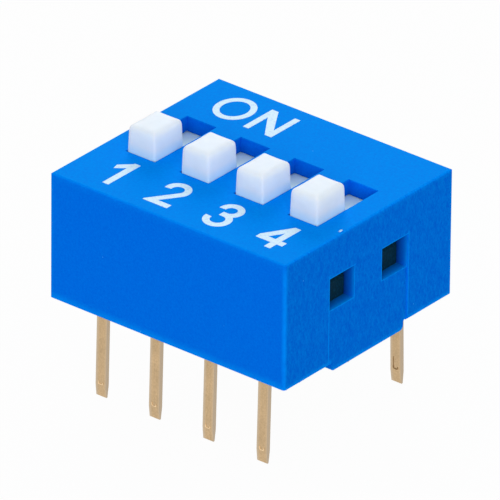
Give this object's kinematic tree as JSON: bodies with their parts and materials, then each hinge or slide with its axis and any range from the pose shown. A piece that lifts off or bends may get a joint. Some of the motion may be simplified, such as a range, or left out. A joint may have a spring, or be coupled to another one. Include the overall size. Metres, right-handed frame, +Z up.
{
  "type": "dip switch",
  "caption": "Through-hole slide DIP switch: blue clip-fitted cover with raised white slides, black base, bridging contacts and flat pins in two rows.",
  "frame": {"origin": "middle of the pin pattern, on the seating plane under the end tabs", "axes": "+X from switch 1 to switch 4, +Y towards the ON side, +Z up, away from the board"},
  "size_m": [0.011, 0.0098, 0.0102],
  "materials": {
    "cover_plastic": "moulded, satin",
    "base_plastic": "moulded, matt",
    "slide_plastic": "moulded, satin",
    "contact_metal": "gold flash",
    "terminal_metal": "matt gold flash"
  },
  "bodies": {
    "housing": {"cover": "cover_plastic", "base": "base_plastic", "terminal_front_1": "terminal_metal", "terminal_front_2": "terminal_metal", "terminal_front_3": "terminal_metal", "terminal_front_4": "terminal_metal", "terminal_rear_1": "terminal_metal", "terminal_rear_2": "terminal_metal", "terminal_rear_3": "terminal_metal", "terminal_rear_4": "terminal_metal"},
    "slider_1": {"slide_1": "slide_plastic", "contact_1": "contact_metal"},
    "slider_2": {"slide_2": "slide_plastic", "contact_2": "contact_metal"},
    "slider_3": {"slide_3": "slide_plastic", "contact_3": "contact_metal"},
    "slider_4": {"slide_4": "slide_plastic", "contact_4": "contact_metal"}
  },
  "joints": [
    {"name": "slide_1_travel", "type": "slide", "parent": "housing", "child": "slider_1", "axis": [0, 1, 0], "range_m": [0, 0.0018]},
    {"name": "slide_2_travel", "type": "slide", "parent": "housing", "child": "slider_2", "axis": [0, 1, 0], "range_m": [0, 0.0018]},
    {"name": "slide_3_travel", "type": "slide", "parent": "housing", "child": "slider_3", "axis": [0, 1, 0], "range_m": [0, 0.0018]},
    {"name": "slide_4_travel", "type": "slide", "parent": "housing", "child": "slider_4", "axis": [0, 1, 0], "range_m": [0, 0.0018]}
  ]
}
